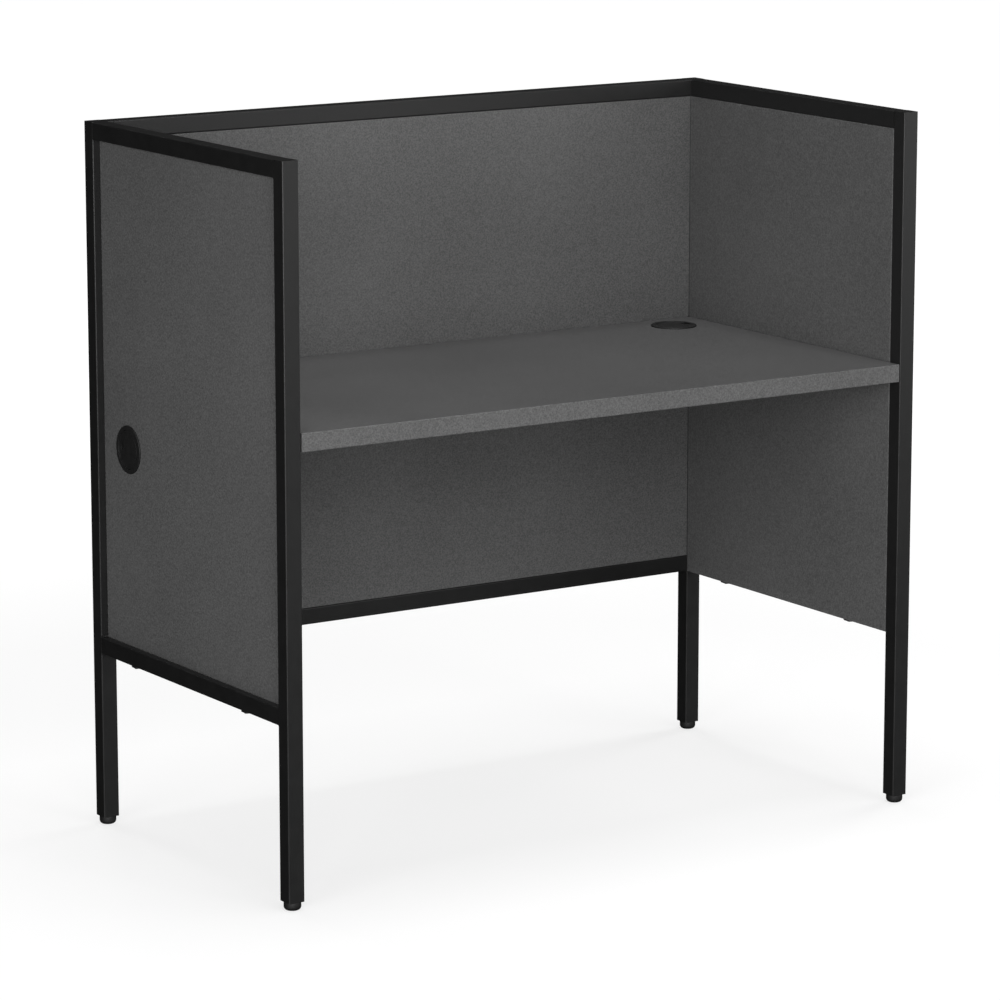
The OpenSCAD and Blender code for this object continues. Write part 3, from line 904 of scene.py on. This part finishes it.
# %% Model one grommet cap
cap_low, cap_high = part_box("worktop_right_cap")
cap_r = (cap_high.y - cap_low.y) / 2
cap_t = 0.0028
cap_top = cap_high.z - worktop_top
cap_round = 0.0005
skirt_r = 0.0296
skirt_t = 0.002
skirt_h = cap_high.z - cap_low.z - cap_t
ring_inset = 0.0022
ring_width = 0.0008
ring_press = 0.0003
cap_pattern = add_round(96, cap_r, cap_top - cap_t, cap_top)
cap_pattern.name = "cap_pattern"
edit_edges(cap_pattern, lambda a, b: same(a.z, cap_top) and same(b.z, cap_top))
round_off(cap_round, 3)
edit_faces(cap_pattern, lambda centre, normal: normal.z > 0.99 and same(centre.z, cap_top))
for width, step in ((ring_inset, -ring_press), (ring_width, ring_press)):
    bpy.ops.mesh.inset(thickness=width)
    bpy.ops.mesh.inset(thickness=ring_press)
    bpy.ops.transform.translate(value=(0, 0, step))
stop_editing()
edit_faces(cap_pattern, lambda centre, normal: normal.z < -0.99)
bpy.ops.mesh.inset(thickness=cap_r - skirt_r)
lift(z=-skirt_h)
bpy.ops.mesh.inset(thickness=skirt_t)
lift(z=skirt_h)
stop_editing()
print("cap", round(2 * cap_r, 4), "across, skirt", round(skirt_h, 4), "deep")

# %% [markdown]
# The notch is as wide as a few cables and round at its inner end. One side of a
# cylinder is stretched outwards, past the rim, and a Boolean takes the stretched
# shape away.

# %% Cut the cable notch
notch_r = 0.0095
notch_depth = 0.015
notch_middle = cap_r - notch_depth + notch_r
notch_reach = 0.02
cutter_half = 0.015
notch_edge = 0.00035
notch_angle = 55
cutter = add_round(48, notch_r, -cutter_half, cutter_half)
cutter.location.x = notch_middle
settle(cutter)
edit_faces(cutter, lambda centre, normal: normal.x > 0.05)
lift(x=notch_reach)
stop_editing()
cut_away(cap_pattern, cutter)
break_edges(cap_pattern, notch_edge, notch_angle)
print("cap", len(cap_pattern.data.polygons), "faces")

# %% [markdown]
# The caps on the worktop lie level with their notch towards the nearer screen.
# Those in the side screens face outwards with their notch towards the rear.

# %% Fit the four caps
for side, side_name in ((-1, "left"), (1, "right")):
    low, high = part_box("worktop_" + side_name + "_cap")
    middle_x = low.x + cap_r if side > 0 else high.x - cap_r
    spot = Vector((middle_x, (low.y + high.y) / 2, worktop_top))
    flat = frame_of((side, 0, 0), (0, side, 0), (0, 0, 1), spot)
    cap = place_copy(cap_pattern, "worktop_" + side_name + "_cap_moulding", flat)
    dress(cap, grommet_plastic, "worktop_" + side_name + "_cap")
    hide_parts("worktop_" + side_name + "_cap")
    low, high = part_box(side_name + "_panel_cap")
    outer_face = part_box(side_name + "_panel")[0 if side < 0 else 1].x
    spot = Vector((outer_face, low.y + cap_r, (low.z + high.z) / 2))
    upright = frame_of((0, 1, 0), (0, 0, side), (side, 0, 0), spot)
    cap = place_copy(cap_pattern, side_name + "_panel_cap_moulding", upright)
    dress(cap, grommet_plastic, side_name + "_panel_cap")
    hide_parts(side_name + "_panel_cap")
throw_away(cap_pattern)

# %% [markdown]
# ## Screws
# Forty pan-head screws hold the boards and the clips. Their heads have a cross
# pressed into them. The two slots of the cross taper inwards, so each cutter is
# a block whose inner end is drawn in.

# %% Press the cross
head_r = 0.0038
head_h = 0.0022
cross_reach = 0.0042
cross_width = 0.001
cross_sink = 0.0012
cross_taper = 0.6


def press_cross(head):
    half_slot = Vector((cross_reach / 2, cross_width / 2, cross_sink))
    slot_middle = Vector((0, 0, -head_h))
    for turn in (0, 90):
        slot = add_block(slot_middle - half_slot, slot_middle + half_slot)
        slot.rotation_euler.z = math.radians(turn)
        settle(slot)
        edit_faces(slot, lambda centre, normal: normal.z > 0.9)
        bpy.ops.transform.resize(value=(cross_taper, cross_taper, 1), center_override=(0, 0, 0))
        stop_editing()
        cut_away(head, slot)


print("screw head", 2 * head_r, "across with a cross of", cross_reach)

# %% [markdown]
# One screw is modelled for each group, as long as the screws of that group: a
# bevelled disc for the head, a threaded shank and a short point. The head lies
# below zero and the shank above it, so a screw is placed by its head's seat.

# %% Model one screw
head_round = 0.0014
shank_r = 0.0019
shank_thread = 0.0005
shank_pitch = 0.0018
point_h = 0.004
point_tip_r = 0.0002


def model_screw(name, length):
    head = add_round(40, head_r, -head_h, 0)
    edit_edges(head, lambda a, b: same(a.z, -head_h) and same(b.z, -head_h))
    round_off(head_round, 6)
    press_cross(head)
    shank = threaded_rod("shank", shank_r, shank_thread, shank_pitch, length - point_h, 16)
    clear_selection()
    bpy.ops.mesh.primitive_cone_add(
        vertices=16, radius1=shank_r - shank_thread, radius2=point_tip_r, depth=point_h,
        location=(0, 0, length - point_h / 2))
    point = bpy.context.object
    settle(point)
    screw = join_pieces([head, shank, point], name)
    smooth_by_angle(screw)
    print(name, len(screw.data.polygons), "faces")
    return screw


print("shank", 2 * shank_r, "across with a pitch of", shank_pitch)

# %% [markdown]
# A screw's place is read from its CAD solid: the long side of its box is its
# axis, and the end with points far from that axis is its head.

# %% Find where a screw sits
head_share = 0.6


def screw_place(low, high, points, turn):
    sizes = high - low
    axis = max(range(3), key=lambda i: sizes[i])
    middle = (low + high) / 2
    others = [i for i in range(3) if i != axis]
    wide = [p[axis] for p in points if max(abs(p[i] - middle[i]) for i in others) > head_share * head_r]
    at_low = sum(wide) / len(wide) < middle[axis]
    inward = Vector((0, 0, 0))
    inward[axis] = 1 if at_low else -1
    seat = middle.copy()
    seat[axis] = low[axis] + head_h if at_low else high[axis] - head_h
    side = Vector((0, 0, 0))
    side[others[0]] = 1
    across = inward.cross(side)
    return frame_of(side, across, inward, seat) @ Matrix.Rotation(turn, 4, "Z"), seat, inward


# %% [markdown]
# Each screw is turned a little differently, as hands leave them. The places are
# remembered, because the holes in the steel are drilled there later.

# %% Drive the screws
hands = random.Random(11)
seats = []
for place in ("cleat_panel", "cleat_worktop", "side_panel_clip", "rear_panel_clip"):
    boxes = loose_boxes(place + "_screws")
    whole_length = max(boxes[0][1] - boxes[0][0])
    screw_pattern = model_screw("screw_pattern", whole_length - head_h)
    driven = []
    for low, high, points in boxes:
        spot, seat, inward = screw_place(low, high, points, hands.uniform(0, math.pi))
        seats.append((seat, inward))
        driven.append(place_copy(screw_pattern, "driven_screw", spot))
    throw_away(screw_pattern)
    group = join_pieces(driven, place + "_pan_heads")
    dress(group, zinc, "carrel_frame")
    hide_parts(place + "_screws")

# %% [markdown]
# ## Folded steel
# Clips and cleats are folded from strip, so their bends are round outside and
# inside and their free corners are clipped round. One helper folds any of them:
# a plate hangs down the board, and a foot is extruded from its upper end.

# %% Fold a strip
def fold_strip(name, width, foot_out, drop, thick, corner, bend):
    strip = add_block(Vector((-width / 2, 0, -drop)), Vector((width / 2, thick, -thick)))
    strip.name = name
    edit_faces(strip, lambda centre, normal: normal.z > 0.9)
    lift(z=thick)
    stop_editing()
    edit_faces(strip, lambda centre, normal: normal.y > 0.9 and centre.z > -thick)
    lift(y=foot_out - thick)
    stop_editing()

    def on_line(y, z):
        return lambda a, b: all(same(p.y, y) and same(p.z, z) for p in (a, b))

    def free_corner(a, b):
        at_drop = same(a.z, -drop) and same(b.z, -drop)
        at_foot = same(a.y, foot_out) and same(b.y, foot_out)
        return same(a.x, b.x) and (at_drop or at_foot)

    edit_edges(strip, on_line(0, 0))
    round_off(bend + thick, 8)
    edit_edges(strip, on_line(thick, -thick))
    round_off(bend, 5)
    edit_edges(strip, free_corner)
    round_off(corner, 5)
    return strip


# %% [markdown]
# The drill is a row of cylinders taken away by a Boolean. A piece is drilled at
# the screws that pass through its box.

# %% Drill at the screws
hole_r = 0.00205
drill_half = 0.01


def near_box(point, low, high, margin=0.0015):
    return all(low[i] - margin < point[i] < high[i] + margin for i in range(3))


def drill(piece, places, radius):
    bits = []
    for seat, inward in places:
        bit = add_round(24, radius, -drill_half, drill_half)
        bit.location = seat
        bit.rotation_euler = inward.to_track_quat("Z", "Y").to_euler()
        settle(bit)
        bits.append(bit)
    cut_away(piece, join_pieces(bits, "drill"))


def drill_at_screws(piece, low, high, margin=0.0015):
    drill(piece, [place for place in seats if near_box(place[0], low, high, margin)], hole_r)


print("screw holes", 2 * hole_r, "across")

# %% [markdown]
# ## Cleats and clips
# Under the worktop run three cleats, one along each screen. Behind the rear
# screen six small angle clips sit in the recess of the tubes. After folding and
# drilling, the sheared edges of the steel are broken.

# %% Fold the cleats
cleat_t = 0.003
cleat_bend = 0.0012
cleat_corner = 0.006
steel_edge = 0.00025
steel_angle = 50
up = Vector((0, 0, 1))
cleat_sides = {
    "right_cleat": Vector((-1, 0, 0)),
    "left_cleat": Vector((1, 0, 0)),
    "rear_cleat": Vector((0, -1, 0)),
}
for node, outward in cleat_sides.items():
    low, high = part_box(node)
    along = outward.cross(up)
    width = abs((high - low).dot(along))
    leg = abs((high - low).dot(outward))
    corner_line = (low + high) / 2 - outward * leg / 2
    corner_line.z = high.z
    cleat = fold_strip(node + "_angle", width, leg, high.z - low.z, cleat_t, cleat_corner, cleat_bend)
    cleat.matrix_world = frame_of(along, outward, up, corner_line)
    settle(cleat)
    drill_at_screws(cleat, low, high)
    break_edges(cleat, steel_edge, steel_angle)
    dress(cleat, steelwork_coat, "carrel_frame")
    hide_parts(node)

# %% [markdown]
# The rear clips hold the screen on all its four sides, so each is turned to its
# own tube. The ones above and below lie level, and those at the sides stand.

# %% Fold the rear clips
clip_t = 0.002
clip_bend = 0.0008
clip_corner = 0.003
back = Vector((0, 1, 0))
rear_low, rear_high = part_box("rear_panel")
rear_middle = (rear_low + rear_high) / 2
rear_clips = []
for low, high, points in loose_boxes("rear_panel_clips"):
    middle = (low + high) / 2
    lies_level = high.x - low.x > high.z - low.z
    if lies_level:
        to_tube = Vector((0, 0, math.copysign(1, middle.z - rear_middle.z)))
    else:
        to_tube = Vector((math.copysign(1, middle.x), 0, 0))
    along = back.cross(to_tube)
    width = abs((high - low).dot(along))
    drop = abs((high - low).dot(to_tube))
    tube_side = middle + to_tube * drop / 2
    tube_side.y = low.y
    clip = fold_strip("clip", width, high.y - low.y, drop, clip_t, clip_corner, clip_bend)
    clip.matrix_world = frame_of(along, back, to_tube, tube_side)
    settle(clip)
    drill_at_screws(clip, low, high)
    rear_clips.append(clip)
clips = join_pieces(rear_clips, "rear_panel_angle_clips")
break_edges(clips, steel_edge, steel_angle)
dress(clips, steelwork_coat, "carrel_frame")
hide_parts("rear_panel_clips")

# %% [markdown]
# The clips under the side screens are flat. Each is a plate whose four corners
# are rounded, with one hole under the rail and one under the board.

# %% Cut the side clips
flat_corner = 0.009
side_clips = []
for low, high, points in loose_boxes("side_panel_clips"):
    clip = add_block(low, high)
    edit_edges(clip, lambda a, b: same(a.x, b.x) and same(a.y, b.y))
    round_off(flat_corner, 8)
    drill_at_screws(clip, low, high)
    side_clips.append(clip)
clips = join_pieces(side_clips, "side_panel_flat_clips")
break_edges(clips, steel_edge, steel_angle)
dress(clips, steelwork_coat, "carrel_frame")
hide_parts("side_panel_clips")

# %% [markdown]
# ## Weld beads
# The outer faces of the frame are ground smooth, but in the corners behind the
# boards and under the bottom rails the weld is left as it was laid. A bead is
# drawn from one small circle, extruded ring by ring. Each ring is wider or
# narrower than the last, which gives the ripples, and both ends run out narrow.

# %% Lay one weld bead
bead_r = 0.0021
ripple = 0.0011
bead_start = 0.45
bead_stop = 0.5
ripple_valley = 0.88
ripple_spread = (0.94, 1.04)


def lay_bead(name, start, end):
    length = (end - start).length
    rings = 2 * max(4, round(length / ripple))
    step = length / rings
    clear_selection()
    bpy.ops.mesh.primitive_circle_add(
        vertices=12, radius=bead_start * bead_r, fill_type="NGON", location=(0, 0, 0))
    bead = bpy.context.object
    bead.name = name
    bpy.ops.object.mode_set(mode="EDIT")
    bpy.ops.mesh.select_all(action="SELECT")
    width = bead_start
    for ring in range(1, rings + 1):
        swell = 1.0 if ring % 2 else ripple_valley
        wanted = bead_stop if ring == rings else swell * hands.uniform(*ripple_spread)
        lift(z=step)
        factor = wanted / width
        bpy.ops.transform.resize(value=(factor, factor, 1), center_override=(0, 0, ring * step))
        width = wanted
    bpy.ops.mesh.select_all(action="SELECT")
    bpy.ops.mesh.normals_make_consistent(inside=False)
    stop_editing()
    turn = (end - start).to_track_quat("Z", "Y").to_matrix().to_4x4()
    bead.matrix_world = Matrix.Translation(start) @ turn
    settle(bead)
    return bead


print("bead", 2 * bead_r, "across, a ripple every", ripple)

# %% [markdown]
# A top rail has beads along its underside only, because its top is ground. A
# bottom rail has them above and below. Beads stop just short of a tube's face.

# %% Weld the corners
bead_end = 0.0008
outer_x = abs(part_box("front_left_post")[0].x) - bead_end
board_x = abs(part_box("left_panel")[0].x - bead_end)
board_y = rear_high.y + bead_end


def weld_levels(rail, low, high):
    return (low.z,) if "top" in rail else (low.z, high.z)


beads = []
for rail in ("left_top_rail", "left_bottom_rail", "right_top_rail", "right_bottom_rail"):
    low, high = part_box(rail)
    side = -1 if high.x < 0 else 1
    for level in weld_levels(rail, low, high):
        for y in (low.y, high.y):
            outer_end = Vector((side * outer_x, y, level))
            inner_end = Vector((side * board_x, y, level))
            beads.append(lay_bead("bead", outer_end, inner_end))
for rail in ("rear_top_rail", "rear_bottom_rail"):
    low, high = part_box(rail)
    for level in weld_levels(rail, low, high):
        under = "bottom" in rail and level == low.z
        near = low.y + bead_end if under else board_y
        for x in (low.x, high.x):
            outer_end = Vector((x, high.y - bead_end, level))
            inner_end = Vector((x, near, level))
            beads.append(lay_bead("bead", outer_end, inner_end))
print("weld beads:", len(beads))
weld_beads = join_pieces(beads, "corner_weld_beads")
smooth_by_angle(weld_beads, 50)
dress(weld_beads, frame_coat, "carrel_frame")

# %% [markdown]
# ## Edging bands
# Every board is closed all round by a glued plastic band, one millimetre thick,
# whose long edges are scraped round. That rounding is what draws a fine dark
# line where two boards meet and a fine bright one where a board ends, so the
# bands are modelled again with it. A block of the outer size is bevelled, and
# the board inside it is taken away.

# %% Wrap one board
band_round = 0.0008
band_clear = 0.002


def wrap_board(node, board_node, wanted, clear_low, clear_high):
    band = add_block(*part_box(node))
    band.name = node + "_band"
    band.data.name = band.name
    edit_edges(band, wanted)
    round_off(band_round, 4)
    board_low, board_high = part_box(board_node)
    cut_away(band, add_block(board_low - clear_low * band_clear, board_high + clear_high * band_clear))
    return band


def finish_band(band, node):
    smooth_by_angle(band)
    dress(band, edge_laminate, "carrel_frame")
    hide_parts(node)


# %% [markdown]
# The side screens hang on studs in their upper edge and are screwed to clips
# below, so their bands are drilled for both. The rear screen's band is whole.

# %% Wrap the screens
stud_hole_r = 0.0033
screw_margin = 0.0025
stud_margin = 0.01
sideways = Vector((1, 0, 0))
top_studs = [((low + high) / 2, up) for low, high, points in loose_boxes("panel_top_studs")]
for side_name in ("left", "right"):
    node = side_name + "_panel_edging"
    low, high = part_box(node)
    band = wrap_board(node, side_name + "_panel", lambda a, b: same(a.x, b.x), sideways, sideways)
    drill_at_screws(band, low, high, screw_margin)
    drill(band, [stud for stud in top_studs if near_box(stud[0], low, high, stud_margin)], stud_hole_r)
    finish_band(band, node)
band = wrap_board("rear_panel_edging", "rear_panel", lambda a, b: same(a.y, b.y), back, back)
finish_band(band, "rear_panel_edging")

# %% [markdown]
# The worktop has this thin band on three sides only. Its front edge wears the
# thicker band of the CAD model, so there the thin one is left open and square.

# %% Wrap the worktop
band_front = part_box("worktop_side_edging")[0].y


def scraped(a, b):
    at_front = same(a.y, band_front) and same(b.y, band_front)
    return same(a.z, b.z) and not at_front


band = wrap_board("worktop_side_edging", "worktop", scraped, up + back, up)
finish_band(band, "worktop_side_edging")
